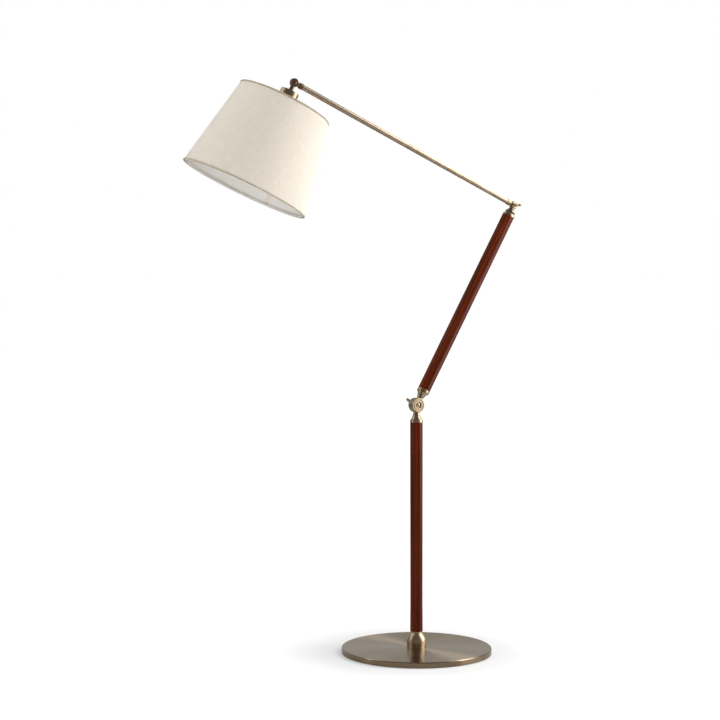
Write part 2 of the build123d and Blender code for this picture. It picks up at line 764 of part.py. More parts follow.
def shade_trim(edge, inward):
    """A folded edge tape: edge is the rim's depth, inward points to the shade's middle."""
    wall = LINEN_T + LINER_T
    leg = edge + inward * TRIM_H
    lip = edge + inward * TRIM_T
    return lathe(
        (shade_r(edge) + TRIM_T, -edge),
        (shade_r(leg) + TRIM_T, -leg),
        (shade_r(leg), -leg),
        (shade_r(lip), -lip),
        (shade_r(lip) - wall, -lip),
        (shade_r(leg) - wall, -leg),
        (shade_r(leg) - wall - TRIM_T, -leg),
        (shade_r(edge) - wall - TRIM_T, -edge),
    )


def shade_top_trim():
    return head_frame * shade_trim(SHADE_TOP, 1)


def shade_bottom_trim():
    return head_frame * shade_trim(SHADE_TOP + SHADE_H, -1)


def wire_depth_and_radius(edge, inward):
    """Where a ring wire runs: just inside the tape and the liner."""
    depth = edge + inward * (WIRE_R + 0.4)
    inner = LINEN_T + LINER_T + TRIM_T + WIRE_R + 0.35
    return depth, shade_r(depth) - inner


def shade_spider():
    """The top ring, three arms and the plate that the lampholder clamps."""
    ring_depth, ring_r = wire_depth_and_radius(SHADE_TOP, 1)
    plate_mid = SHOULDER_BOTTOM + SPIDER_PLATE_T / 2
    plate = tube(
        SPIDER_PLATE_R, SPIDER_HOLE_R, -SHOULDER_BOTTOM - SPIDER_PLATE_T, -SHOULDER_BOTTOM
    )
    frame = plate + Pos(0, 0, -ring_depth) * Torus(ring_r, WIRE_R)
    arm_start = SPIDER_PLATE_R - 1.5
    arm_run = ring_r - arm_start
    arm_rise = plate_mid - ring_depth
    arm_length = math.hypot(arm_run, arm_rise)
    slope = math.degrees(math.atan2(arm_rise, arm_run))
    for i in range(SPIDER_ARMS):
        place = Pos(arm_start, 0, -plate_mid) * Rot(0, 90 - slope, 0)
        arm = place * rod(SPIDER_ARM_R, 0, arm_length)
        frame += Rot(0, 0, SPIDER_TURN + i * 360 / SPIDER_ARMS) * arm
    return head_frame * frame


def shade_bottom_ring():
    depth, radius = wire_depth_and_radius(SHADE_TOP + SHADE_H, -1)
    return head_frame * Pos(0, 0, -depth) * Torus(radius, WIRE_R)


# ---- assembly -----------------------------------------------------------------------

lower_pole_frame = Pos(0, 0, COLLAR_TOP)
lower_ferrule_frame = Pos(0, 0, POLE_TOP)
upper_ferrule_frame = upper_frame * Pos(0, 0, NECK_LENGTH)
upper_pole_frame = upper_ferrule_frame * Pos(0, 0, FERRULE_H)
top_ferrule_frame = upper_pole_frame * Pos(0, 0, POLE_LENGTH)
upper_pipe_low = NECK_LENGTH - PIPE_INSERT
upper_pipe_high = UPPER_LENGTH - TOP_NECK_LENGTH + TOP_PIPE_INSERT

nodes = {
    "base_cover": base_cover(),
    "base_weight": base_weight(),
    "base_pad": base_pad(),
    "cord_gland": cord_gland(),
    "base_washer": base_washer(),
    "base_nut": base_nut(),
    "base_collar": base_collar(),
    "lower_pipe": lower_pipe(),
    "lower_pole": lower_pole_frame * wooden_pole(),
    "lower_pole_ferrule": lower_ferrule_frame * ferrule(),
    "elbow_lower_hub": elbow_lower_hub(),
    "elbow_bolt": elbow_bolt(),
    "elbow_washer": elbow_washer(),
    "elbow_spring_washer": elbow_spring_washer(),
    "elbow_wing_nut": elbow_wing_nut(),
    "elbow_upper_hub": elbow_upper_hub(),
    "upper_pole_bottom_ferrule": upper_ferrule_frame * ferrule(),
    "upper_pipe": upper_frame * tube(PIPE_R, PIPE_BORE_R, upper_pipe_low, upper_pipe_high),
    "upper_pole": upper_pole_frame * wooden_pole(),
    "upper_pole_top_ferrule": top_ferrule_frame * ferrule(),
    "top_hub": top_hub(),
    "top_bolt": top_bolt(),
    "top_washer": top_washer(),
    "top_wing_nut": top_wing_nut(),
    "rod_hub": rod_hub(),
    "rod_inner_ferrule": rod_inner_ferrule(),
    "brass_rod": brass_rod(),
    "rod_outer_ferrule": rod_outer_ferrule(),
    "head_link": head_link(),
    "swivel_nut": swivel_nut(),
    "head_bolt": head_bolt(),
    "head_nut": head_nut(),
    "head_washer": head_washer(),
    "head_hub": head_hub(),
    "socket_cup": socket_cup(),
    "stem_nut": stem_nut(),
    "socket_body": socket_body(),
    "socket_core": socket_core(),
    "socket_sleeve": socket_sleeve(),
    "socket_shell": socket_shell(),
    "socket_contact": socket_contact(),
    "switch_knob": switch_knob(),
    "bulb_base": bulb_base(),
    "bulb_glass": bulb_glass(),
    "shade_clamp_ring": shade_clamp_ring(),
    "shade_spider": shade_spider(),
    "shade_bottom_ring": shade_bottom_ring(),
    "shade_liner": shade_liner(),
    "shade_linen": shade_linen(),
    "shade_top_trim": shade_top_trim(),
    "shade_bottom_trim": shade_bottom_trim(),
}

os.makedirs("parts", exist_ok=True)
for name, solid in nodes.items():
    export_step(solid, f"parts/{name}.step")

print("elbow", tuple(lower_frame.position))
print("top knuckle", tuple(rod_frame.position))
print("head knuckle", tuple(head_frame.position))
for name, frame in (("rod", rod_frame), ("head", head_frame)):
    print(name, "axis", tuple(Plane(frame).z_dir), "hinge", tuple(Plane(frame).y_dir))
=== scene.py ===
import json
import math

import bmesh
import bpy
import numpy as np
from mathutils import Matrix, Vector

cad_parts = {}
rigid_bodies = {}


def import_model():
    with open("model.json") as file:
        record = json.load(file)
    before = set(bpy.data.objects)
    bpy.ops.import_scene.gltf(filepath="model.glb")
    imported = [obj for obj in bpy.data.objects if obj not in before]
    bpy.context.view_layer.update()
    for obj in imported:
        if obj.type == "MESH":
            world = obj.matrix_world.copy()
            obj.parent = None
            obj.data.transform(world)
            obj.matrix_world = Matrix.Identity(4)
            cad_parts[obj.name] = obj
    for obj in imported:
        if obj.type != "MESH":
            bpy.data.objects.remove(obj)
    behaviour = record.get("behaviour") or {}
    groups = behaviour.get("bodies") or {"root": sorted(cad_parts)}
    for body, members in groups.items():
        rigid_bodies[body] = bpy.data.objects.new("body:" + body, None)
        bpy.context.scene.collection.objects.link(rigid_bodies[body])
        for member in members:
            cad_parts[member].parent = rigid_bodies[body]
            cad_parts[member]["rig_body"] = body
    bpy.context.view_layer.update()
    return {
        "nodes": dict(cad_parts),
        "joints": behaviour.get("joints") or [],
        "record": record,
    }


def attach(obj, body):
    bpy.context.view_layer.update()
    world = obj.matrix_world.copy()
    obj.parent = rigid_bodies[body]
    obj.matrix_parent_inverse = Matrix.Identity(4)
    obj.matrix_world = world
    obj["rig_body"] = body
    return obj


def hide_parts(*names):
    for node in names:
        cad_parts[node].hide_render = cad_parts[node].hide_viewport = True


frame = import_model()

# Adjustable arm floor lamp. Metres, in the CAD's own frame: +Z up, the front is -Y.
# Places come from the frame's joints and from the CAD nodes themselves.

# ---- camera and light ---------------------------------------------------------------

CAMERA_AZIMUTH = 32.0
CAMERA_DISTANCE = 3.541
CAMERA_SIDE = -0.1436
CAMERA_HEIGHT = 0.7434
LENS_MM = 69.6

# ---- places from the frame ----------------------------------------------------------

joints = {j["name"]: j for j in frame["joints"]}
elbow = Vector(joints["elbow_hinge"]["pos_m"])
top_knuckle = Vector(joints["top_hinge"]["pos_m"])
head_knuckle = Vector(joints["head_tilt"]["pos_m"])
rod_axis = Vector(joints["head_swivel"]["axis"]).normalized()
head_hinge = Vector(joints["head_tilt"]["axis"]).normalized()
switch_centre = Vector(joints["switch_turn"]["pos_m"])
shade_axis = (head_knuckle - switch_centre).normalized()
upper_axis = (top_knuckle - elbow).normalized()
up = Vector((0, 0, 1))
back = Vector((0, 1, 0))


def frame_matrix(origin, z_axis, y_axis):
    """The matrix of a local frame with that origin and axes."""
    x_axis = y_axis.cross(z_axis).normalized()
    y_axis = z_axis.cross(x_axis).normalized()
    columns = Matrix((x_axis, y_axis, z_axis)).transposed().to_4x4()
    columns.translation = origin
    return columns


base_m = frame_matrix(Vector((0, 0, 0)), up, back)
upper_m = frame_matrix(elbow, upper_axis, back)
rod_m = frame_matrix(top_knuckle, rod_axis, back)
head_m = frame_matrix(head_knuckle, shade_axis, head_hinge)


def local_points(node, matrix):
    """A CAD node's vertices in a local frame, as an array of (x, y, z)."""
    mesh = frame["nodes"][node].data
    co = np.empty(len(mesh.vertices) * 3)
    mesh.vertices.foreach_get("co", co)
    inverse = np.array(matrix.inverted())
    return co.reshape(-1, 3) @ inverse[:3, :3].T + inverse[:3, 3]


def polar(node, matrix):
    """A CAD node's radii and heights about a local frame's Z axis."""
    p = local_points(node, matrix)
    return np.hypot(p[:, 0], p[:, 1]), p[:, 2]


base_radius = polar("base_cover", base_m)[0].max()

# ---- material nodes -----------------------------------------------------------------


class Shader:
    """A small helper round one material's node tree."""

    def __init__(self, name):
        self.material = bpy.data.materials.new(name)
        self.material.use_nodes = True
        self.tree = self.material.node_tree
        self.bsdf = self.tree.nodes["Principled BSDF"]

    def node(self, kind, **values):
        made = self.tree.nodes.new(kind)
        for key, value in values.items():
            if hasattr(made, key):
                setattr(made, key, value)
            else:
                made.inputs[key.replace("_", " ").title()].default_value = value
        return made

    def link(self, a, b):
        self.tree.links.new(a, b)

    def set(self, **values):
        for key, value in values.items():
            label = key.replace("_", " ").title().replace("Ior", "IOR")
            self.bsdf.inputs[label].default_value = value

    def attribute(self, name):
        return self.node("ShaderNodeAttribute", attribute_name=name).outputs["Vector"]

    def object_coords(self):
        return self.node("ShaderNodeTexCoord").outputs["Object"]

    def uv(self):
        return self.node("ShaderNodeUVMap", uv_map="UVMap").outputs["UV"]

    def scaled(self, vector, scale, shift=(0, 0, 0)):
        made = self.node("ShaderNodeMapping")
        made.inputs["Scale"].default_value = scale
        made.inputs["Location"].default_value = shift
        self.link(vector, made.inputs["Vector"])
        return made.outputs["Vector"]

    def noise(self, vector, scale, detail=3.0, rough=0.5):
        made = self.node("ShaderNodeTexNoise")
        made.inputs["Scale"].default_value = scale
        made.inputs["Detail"].default_value = detail
        made.inputs["Roughness"].default_value = rough
        self.link(vector, made.inputs["Vector"])
        return made.outputs["Fac"]

    def remap(self, value, low, high, to_low=0.0, to_high=1.0):
        made = self.node("ShaderNodeMapRange")
        for key, number in zip(
            ("From Min", "From Max", "To Min", "To Max"), (low, high, to_low, to_high)
        ):
            made.inputs[key].default_value = number
        self.link(value, made.inputs["Value"])
        return made.outputs["Result"]

    def ramp(self, value, *stops):
        """A colour ramp: each stop is (position, (r, g, b))."""
        made = self.node("ShaderNodeValToRGB")
        ramp = made.color_ramp
        while len(ramp.elements) < len(stops):
            ramp.elements.new(0.5)
        for element, (position, colour) in zip(ramp.elements, stops):
            element.position = position
            element.color = (*colour, 1)
        self.link(value, made.inputs["Fac"])
        return made.outputs["Color"]

    def mix(self, factor, a, b, mode="MIX"):
        """Two colours mixed: each of factor, a and b is a socket or a value."""
        made = self.node("ShaderNodeMix", data_type="RGBA", blend_type=mode)
        for socket, value in zip((made.inputs[0], made.inputs[6], made.inputs[7]), (factor, a, b)):
            if isinstance(value, bpy.types.NodeSocket):
                self.link(value, socket)
            elif isinstance(value, tuple):
                socket.default_value = (*value, 1)
            else:
                socket.default_value = value
        return made.outputs[2]

    def math(self, operation, a, b=0.0):
        made = self.node("ShaderNodeMath", operation=operation)
        for socket, value in zip(made.inputs, (a, b)):
            if isinstance(value, bpy.types.NodeSocket):
                self.link(value, socket)
            else:
                socket.default_value = value
        return made.outputs["Value"]

    def bump(self, height, distance, strength=1.0, normal=None):
        made = self.node("ShaderNodeBump")
        made.inputs["Distance"].default_value = distance
        made.inputs["Strength"].default_value = strength
        self.link(height, made.inputs["Height"])
        if normal is not None:
            self.link(normal, made.inputs["Normal"])
        return made.outputs["Normal"]

    def finish(self, colour=None, rough=None, normal=None):
        for socket, name in ((colour, "Base Color"), (rough, "Roughness"), (normal, "Normal")):
            if socket is not None:
                self.link(socket, self.bsdf.inputs[name])
        return self.material


def linear(r, g, b):
    """An sRGB colour, 0 to 255, as linear numbers."""
    return tuple(
        c / 3294.6 if c <= 10.31 else ((c / 255 + 0.055) / 1.055) ** 2.4 for c in (r, g, b)
    )


# ---- materials ----------------------------------------------------------------------

BRASS = linear(188, 168, 140)
BRASS_DARK = linear(128, 107, 82)
PALE_BRASS = linear(198, 182, 157)
PALE_BRASS_DARK = linear(160, 140, 112)
ROD_BRASS = linear(184, 165, 141)
ROD_BRASS_DARK = linear(128, 106, 80)
# A darker brass for the head knuckle's parts than for the rest of the lamp.
HEAD_BRASS = linear(142, 120, 97)
HEAD_BRASS_DARK = linear(88, 68, 50)

WOOD_PORE = linear(30, 8, 2)
WOOD_BAND = linear(52, 16, 4)
WOOD_TONES = (
    (0.28, linear(52, 16, 3)),
    (0.47, linear(82, 28, 6)),
    (0.62, linear(104, 39, 9)),
    (0.8, linear(124, 52, 14)),
)
BULB_LIGHT = linear(243, 240, 232)
BULB_SHADE = linear(236, 232, 222)
# Width of the painted shade band on the base's outer rim wall.
RIM_SHADE_WIDTH = 0.0015


def brass(name, light, dark, rough, marks):
    """Antique brass: faint cloudy patina, and fine marks stretched as marks is scaled."""
    s = Shader(name)
    s.set(metallic=1.0)
    local = s.attribute("local")
    cloud = s.noise(s.object_coords(), 30.0, 2.0, 0.5)
    fine = s.noise(s.scaled(local, marks), 1.0, 1.0)
    uneven = s.math("ADD", s.math("MULTIPLY", cloud, 0.75), s.math("MULTIPLY", fine, 0.25))
    colour = s.mix(s.remap(uneven, 0.35, 0.7, 0.0, 0.5), light, dark)
    roughness = s.remap(uneven, 0.35, 0.65, rough - 0.02, rough + 0.03)
    return s.finish(colour, roughness)


def brushed_disc(name, rim_radius):
    """The base's spun top: brushed in rings, so its highlights spread along the radius. Its outer
    rim wall is painted darker, as painted shade.
    """
    s = Shader(name)
    s.set(metallic=1.0, anisotropic=0.96, anisotropic_rotation=0.25)
    local = s.attribute("local")
    ring = s.node("ShaderNodeVectorMath", operation="LENGTH")
    s.link(s.scaled(local, (1, 1, 0)), ring.inputs[0])
    radius = s.node("ShaderNodeCombineXYZ")
    s.link(ring.outputs["Value"], radius.inputs["X"])
    lines = s.noise(s.scaled(radius.outputs["Vector"], (2200, 1, 1)), 1.0, 3.0, 0.7)
    cloud = s.noise(s.object_coords(), 9.0, 3.0, 0.5)
    colour = s.mix(s.remap(cloud, 0.3, 0.75, 0.0, 0.4), PALE_BRASS, PALE_BRASS_DARK)
    # Painted shade: the disc's rim wall is darkened towards BRASS_DARK, standing in for the dark
    # surroundings it reflects.
    rim = s.remap(ring.outputs["Value"], rim_radius - RIM_SHADE_WIDTH, rim_radius, 0.0, 0.8)
    colour = s.mix(rim, colour, BRASS_DARK)
    colour = s.mix(s.remap(lines, 0.35, 0.65, 0.0, 0.25), colour, PALE_BRASS_DARK)
    roughness = s.remap(lines, 0.3, 0.7, 0.19, 0.26)
    tangent = s.node("ShaderNodeTangent", direction_type="RADIAL", axis="Z")
    s.link(tangent.outputs["Tangent"], s.bsdf.inputs["Tangent"])
    return s.finish(colour, roughness)


def mahogany(name):
    """Dark red turned wood under gloss lacquer, with grain and pores along the pole."""
    s = Shader(name)
    s.set(coat_weight=0.12, coat_roughness=0.16, coat_ior=1.45, specular_ior_level=0.05)
    local = s.attribute("local")
    streak = s.noise(s.scaled(local, (150, 150, 5)), 1.0, 5.0, 0.62)
    band = s.noise(s.scaled(local, (55, 55, 2.2), (3.1, 0.7, 0)), 1.0, 2.0, 0.5)
    pores = s.noise(s.scaled(local, (900, 900, 28)), 1.0, 2.0, 0.6)
    body = s.ramp(streak, *WOOD_TONES)
    shaded = s.mix(s.remap(band, 0.35, 0.68, 0.0, 0.55), body, WOOD_BAND)
    pore = s.remap(pores, 0.62, 0.75, 0.0, 0.6)
    colour = s.mix(pore, shaded, WOOD_PORE)
    roughness = s.remap(streak, 0.2, 0.8, 0.42, 0.3)
    return s.finish(colour, roughness, s.bump(pores, 0.00001, 0.2))


def woven(name, light, dark, pitch, slub=1.0):
    """Plain-woven cloth over UV in metres: threads, slubs along and across, dull sheen."""
    s = Shader(name)
    s.set(roughness=0.92, specular_ior_level=0.25, sheen_weight=0.3, sheen_roughness=0.5)
    uv = s.uv()
    threads = 1.0 / pitch
    across = s.node("ShaderNodeTexWave", wave_type="BANDS", bands_direction="X")
    along = s.node("ShaderNodeTexWave", wave_type="BANDS", bands_direction="Y")
    for wave in (across, along):
        wave.inputs["Scale"].default_value = threads * math.pi / 10
        wave.inputs["Distortion"].default_value = 1.2
        wave.inputs["Detail"].default_value = 1.0
        s.link(uv, wave.inputs["Vector"])
    weave = s.math("MULTIPLY", across.outputs["Fac"], along.outputs["Fac"])
    slub_across = s.noise(s.scaled(uv, (42, 950, 1)), 1.0, 3.0, 0.55)
    slub_along = s.noise(s.scaled(uv, (950, 42, 1), (5, 9, 0)), 1.0, 3.0, 0.55)
    slubs = s.math("ADD", slub_across, slub_along)
    cloud = s.noise(s.scaled(uv, (9, 9, 1)), 1.0, 2.0, 0.5)
    spread = 0.22 / slub
    tone = s.remap(slubs, 1.0 - spread, 1.0 + spread, 0.0, 1.0)
    colour = s.mix(tone, dark, light)
    colour = s.mix(s.remap(cloud, 0.3, 0.7, 0.0, 0.12), colour, dark)
    thread_gap = s.remap(weave, 0.0, 0.5, 0.82, 1.0)
    grey = s.node("ShaderNodeCombineColor")
    for channel in ("Red", "Green", "Blue"):
        s.link(thread_gap, grey.inputs[channel])
    colour = s.mix(1.0, colour, grey.outputs["Color"], "MULTIPLY")
    height = s.math("ADD", weave, s.math("MULTIPLY", slubs, 1.6))
    return s.finish(colour, None, s.bump(height, 0.00012, 0.7))


def plain(name, colour, rough, metallic=0.0, grain=60.0, depth=0.00003, vary=0.25):
    """A moulded or painted surface: fine texture and slight colour variation."""
    s = Shader(name)
    s.set(metallic=metallic)
    grain_noise = s.noise(s.object_coords(), grain * 20, 3.0, 0.6)
    cloud = s.noise(s.object_coords(), grain, 3.0, 0.5)
    darker = tuple(c * (1 - vary) for c in colour)
    mixed = s.mix(s.remap(cloud, 0.3, 0.7, 0.0, 1.0), colour, darker)
    roughness = s.remap(grain_noise, 0.3, 0.7, rough - 0.05, rough + 0.05)
    return s.finish(mixed, roughness, s.bump(grain_noise, depth, 0.4))


def frosted_bulb(name):
    """The bulb's white-coated glass."""
    s = Shader(name)
    s.set(coat_weight=0.8, coat_roughness=0.08, specular_ior_level=0.5)
    s.set(subsurface_weight=0.3, subsurface_scale=0.004)
    cloud = s.noise(s.object_coords(), 30.0, 2.0, 0.5)
    colour = s.mix(s.remap(cloud, 0.3, 0.7, 0.0, 1.0), BULB_LIGHT, BULB_SHADE)
    roughness = s.remap(cloud, 0.3, 0.7, 0.38, 0.44)
    return s.finish(colour, roughness)


materials = {
    "brass": brass("antique_brass", BRASS, BRASS_DARK, 0.32, (120, 120, 900)),
    "rod": brass("rod_brass", ROD_BRASS, ROD_BRASS_DARK, 0.26, (300, 300, 12)),
    "head_brass": brass("darker_head_brass", HEAD_BRASS, HEAD_BRASS_DARK, 0.28, (120, 120, 900)),
    "disc": brushed_disc("brushed_brass_disc", base_radius),
    "wood": mahogany("mahogany"),
    "linen": woven("natural_linen", linear(241, 233, 220), linear(227, 216, 200), 0.0009),
    "tape": woven("linen_tape", linear(205, 190, 166), linear(176, 158, 132), 0.0007),
    "seam": woven("seam_tape", linear(246, 240, 228), linear(234, 224, 206), 0.0008),
    "liner": plain("styrene_liner", linear(238, 235, 230), 0.5, grain=12.0, vary=0.03),
    "steel": plain("zinc_steel", linear(178, 178, 176), 0.32, 1.0),
    "wire": plain("white_painted_wire", linear(226, 222, 214), 0.35, depth=0.000008, vary=0.06),
    "iron": plain("cast_iron", linear(70, 70, 72), 0.7, 0.3, depth=0.0002),
    "felt": plain("black_felt", linear(44, 44, 46), 0.95, grain=90.0, depth=0.0003),
    "fibre": plain("red_fibre", linear(120, 62, 46), 0.7),
    "black": plain("black_plastic", linear(30, 30, 31), 0.4),
    "porcelain": plain("porcelain", linear(232, 230, 224), 0.2, vary=0.04),
    "cap": plain("bulb_cap", linear(200, 200, 198), 0.28, 1.0, vary=0.1),
    "bulb": frosted_bulb("frosted_glass"),
}

SLOTS = {
    "antique_brass": "brass",
    "steel": "steel",
    "wire_steel": "wire",
    "cast_iron": "iron",
    "mahogany": "wood",
    "felt": "felt",
    "fibre": "fibre",
    "black_plastic": "black",
    "porcelain": "porcelain",
    "bulb_metal": "cap",
    "bulb_glass": "bulb",
    "styrene": "liner",
    "linen": "linen",
    "linen_tape": "tape",
}


def store_local(mesh, matrix):
    """Keeps each vertex's place in its part's own frame, for grain and brushing."""
    co = np.empty(len(mesh.vertices) * 3)
    mesh.vertices.foreach_get("co", co)
    inverse = np.array(matrix.inverted())
    local = co.reshape(-1, 3) @ inverse[:3, :3].T + inverse[:3, 3]
    old = mesh.attributes.get("local")
    if old is not None:
        mesh.attributes.remove(old)
    attribute = mesh.attributes.new("local", "FLOAT_VECTOR", "POINT")
    attribute.data.foreach_set("vector", local.astype(np.float32).ravel())


def paint(obj, material):
    obj.data.materials.clear()
    obj.data.materials.append(materials[material])


BODY_FRAMES = {
    "base": base_m,
    "elbow_wing": base_m,
    "upper_arm": upper_m,
    "top_wing": upper_m,
    "rod": rod_m,
    "head_link": rod_m,
    "head": head_m,
    "switch": head_m,
}

# The head knuckle's parts are painted with the darker brass.
DARKER_BRASS_PARTS = ("head_link", "head_hub", "head_bolt", "head_nut", "rod_outer_ferrule")

slot_of = {s["node"]: s["material_slot"] for s in frame["record"]["subparts"]}
for name, node in frame["nodes"].items():
    store_local(node.data, BODY_FRAMES[node["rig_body"]])
    paint(node, SLOTS[slot_of[name]])
    node.data.shade_smooth()
    node.data.set_sharp_from_angle(angle=math.radians(32))
paint(frame["nodes"]["base_cover"], "disc")
paint(frame["nodes"]["brass_rod"], "rod")
for name in DARKER_BRASS_PARTS:
    paint(frame["nodes"][name], "head_brass")

# ---- mesh building ------------------------------------------------------------------


def new_piece(name, verts, faces, matrix, material, body, uv=None):
    """A smooth mesh given in a local frame, placed in the row frame, riding on a body."""
    mesh = bpy.data.meshes.new(name)
    mesh.from_pydata([tuple(v) for v in verts], [], [tuple(f) for f in faces])
    if uv is not None:
        layer = mesh.uv_layers.new(name="UVMap")
        for loop in mesh.loops:
            layer.data[loop.index].uv = uv[loop.vertex_index]
    mesh.transform(matrix)
    mesh.update()
    store_local(mesh, matrix)
    mesh.shade_smooth()
    obj = bpy.data.objects.new(name, mesh)
    bpy.context.scene.collection.objects.link(obj)
    paint(obj, material)
    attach(obj, body)
    return obj


def rounded(corners, radius, steps=6, closed=True):
    """An outline whose corners are rounded. radius is one number or one for each corner."""
    count = len(corners)
    radii = radius if isinstance(radius, (list, tuple)) else [radius] * count
    points = []
    for i, corner in enumerate(corners):
        p = np.array(corner, float)
        r = radii[i]
        if r <= 0 or (not closed and i in (0, count - 1)):
            points.append(tuple(p))
            continue
        a = np.array(corners[i - 1], float) - p
        b = np.array(corners[(i + 1) % count], float) - p
        la, lb = np.linalg.norm(a), np.linalg.norm(b)
        a, b = a / la, b / lb
        half = math.acos(float(np.clip(a @ b, -1, 1))) / 2
        cut = min(r / math.tan(half), 0.49 * la, 0.49 * lb)
        r = cut * math.tan(half)
        centre = p + (a + b) / np.linalg.norm(a + b) * (r / math.sin(half))
        start, end = p + a * cut - centre, p + b * cut - centre
        turn = math.atan2(start[0] * end[1] - start[1] * end[0], float(start @ end))
        for k in range(steps + 1):
            t = turn * k / steps
            c, s = math.cos(t), math.sin(t)
            turned = (start[0] * c - start[1] * s, start[0] * s + start[1] * c)
            points.append(tuple(centre + turned))
    return points


def lathe(name, outline, matrix, material, body, segments=128):
    """A closed (radius, height) outline turned about local Z. Radius 0 points close up."""
    verts, faces, rings = [], [], []
    for r, z in outline:
        if r < 1e-7:
            rings.append([len(verts)])
            verts.append((0, 0, z))
            continue
        rings.append(range(len(verts), len(verts) + segments))
        for k in range(segments):
            t = 2 * math.pi * k / segments
            verts.append((r * math.cos(t), r * math.sin(t), z))
    for a, b in zip(rings, rings[1:] + rings[:1]):
        if len(a) == 1 and len(b) == 1:
            continue
        for k in range(segments):
            n = (k + 1) % segments
            quad = [a[k % len(a)], a[n % len(a)], b[n % len(b)], b[k % len(b)]]
            faces.append(list(dict.fromkeys(quad)))
    return new_piece(name, verts, faces, matrix, material, body)


# ---- shade --------------------------------------------------------------------------

linen_r, linen_z = polar("shade_linen", head_m)
shade_top_z, shade_bottom_z = linen_z.max(), linen_z.min()
shade_top_r = linen_r[linen_z > shade_top_z - 1e-5].max()
shade_bottom_r = linen_r[linen_z < shade_bottom_z + 1e-5].max()

SHADE_ROWS = 60
SHADE_COLUMNS = 320
SEAM_ANGLE = math.radians(43.0)
SEAM_OVERLAP = 0.012
CLOTH_T = 0.0006
CLOTH_INSET = 0.0006
CLOTH_WAVE = 0.00012
RIPPLE_PITCH = 0.231
LAP_LIFT = 1.05


def cone_radius(z):
    """The linen's outer radius at a local height."""
    share = (shade_top_z - z) / (shade_top_z - shade_bottom_z)
    return shade_top_r + share * (shade_bottom_r - shade_top_r)


def shell_faces(rows, columns):
    """Faces of a closed sheet: two grids of points, the second one inside, and their edges."""
    width = columns + 1
    per_layer = width * (rows + 1)
    faces = []
    for i in range(rows):
        for k in range(columns):
            a = i * width + k
            b = a + per_layer
            faces.append((a, a + width, a + width + 1, a + 1))
            faces.append((b, b + 1, b + width + 1, b + width))
    for k in range(columns):
        a, b = k, rows * width + k
        faces.append((a, a + 1, a + 1 + per_layer, a + per_layer))
        faces.append((b + 1, b, b + per_layer, b + 1 + per_layer))
    for i in range(rows):
        a, b = i * width, i * width + columns
        faces.append((a + width, a, a + per_layer, a + width + per_layer))
        faces.append((b, b + width, b + width + per_layer, b + per_layer))
    return faces


def linen_cover():
    """The linen wrapped round the cone from the seam, its far end lying over its start."""
    columns, rows = SHADE_COLUMNS, SHADE_ROWS
    mean_r = cone_radius((shade_top_z + shade_bottom_z) / 2)
    lap = SEAM_OVERLAP / mean_r
    drop = shade_bottom_z - shade_top_z
    verts, uv = [], []
    for layer in (0, 1):
        for i in range(rows + 1):
            z = shade_top_z + drop * i / rows
            fade = math.sin(math.pi * i / rows)
            for angle in np.linspace(0, 2 * math.pi + lap, columns + 1):
                rise = max(0.0, min(1.0, (angle - 2 * math.pi + 3 * lap) / (2 * lap)))
                lift = LAP_LIFT * CLOTH_T * rise * rise * (3 - 2 * rise)
                ripple = math.sin(3 * angle + 1.3) + 0.6 * math.sin(7 * angle + 9 * z / RIPPLE_PITCH)
                inward = CLOTH_INSET + layer * CLOTH_T - lift
                r = cone_radius(z) - inward + CLOTH_WAVE * ripple * fade
                t = SEAM_ANGLE + angle
                verts.append((r * math.cos(t), r * math.sin(t), z))
                uv.append((angle * mean_r, -z))
    faces = shell_faces(rows, columns)
    return new_piece("linen_cover", verts, faces, head_m, "linen", "head", uv)


linen = linen_cover()
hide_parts("shade_linen")


TAPE_T = 0.0007
TAPE_WALL = 0.0026
TAPE_PROUD = 0.0006
TAPE_EDGE_R = 0.0003
TAPE_WAVE = 0.00016
TAPE_SEGMENTS = 360


def trim_piece(name, node):
    """The folded edge tape: a soft U over the rim, a little uneven as glued cloth is."""
    r, z = polar(node, head_m)
    low, high = z.min(), z.max()
    top_edge = high > (shade_top_z + shade_bottom_z) / 2
    edge, leg = (high, low) if top_edge else (low, high)
    sign = 1 if top_edge else -1
    folded = edge - sign * TAPE_T
    profile = [
        (TAPE_PROUD, leg),
        (TAPE_PROUD, edge),
        (-TAPE_WALL, edge),
        (-TAPE_WALL, leg),
        (-TAPE_WALL + TAPE_T, leg),
        (-TAPE_WALL + TAPE_T, folded),
        (TAPE_PROUD - TAPE_T, folded),
        (TAPE_PROUD - TAPE_T, leg),
    ]
    outline = rounded(profile, [TAPE_EDGE_R] + [TAPE_T] * 2 + [TAPE_EDGE_R] * 5, 4)
    verts, uv, faces = [], [], []
    lengths = np.concatenate(
        [[0], np.cumsum(np.linalg.norm(np.diff(np.array(outline), axis=0), axis=1))]
    )
    for k in range(TAPE_SEGMENTS):
        t = 2 * math.pi * k / TAPE_SEGMENTS
        uneven = TAPE_WAVE * (math.sin(5 * t + 0.4) + 0.625 * math.sin(23 * t + 1.9))
        for (dr, h), along in zip(outline, lengths):
            radius = cone_radius(h) + dr
            height = h + (uneven if abs(h - leg) < TAPE_T * 1.4 else 0.0)
            verts.append((radius * math.cos(t), radius * math.sin(t), height))
            uv.append((t * radius, along))
    count = len(outline)
    for k in range(TAPE_SEGMENTS):
        n = (k + 1) % TAPE_SEGMENTS
        for i in range(count):
            j = (i + 1) % count
            quad = (k * count + i, n * count + i, n * count + j, k * count + j)
            faces.append(quad if top_edge else quad[::-1])
    piece = new_piece(name, verts, faces, head_m, "tape", "head", uv)
    piece_radii = [math.hypot(x, y) for x, y, _ in verts[:count]]
    layer = piece.data.uv_layers["UVMap"].data
    for face in piece.data.polygons[-count:]:
        for loop in face.loop_indices:
            vertex = piece.data.loops[loop].vertex_index
            if vertex < count:
                layer[loop].uv.x = 2 * math.pi * piece_radii[vertex]
    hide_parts(node)
    return piece


top_tape = trim_piece("top_edge_tape", "shade_top_trim")
bottom_tape = trim_piece("bottom_edge_tape", "shade_bottom_trim")

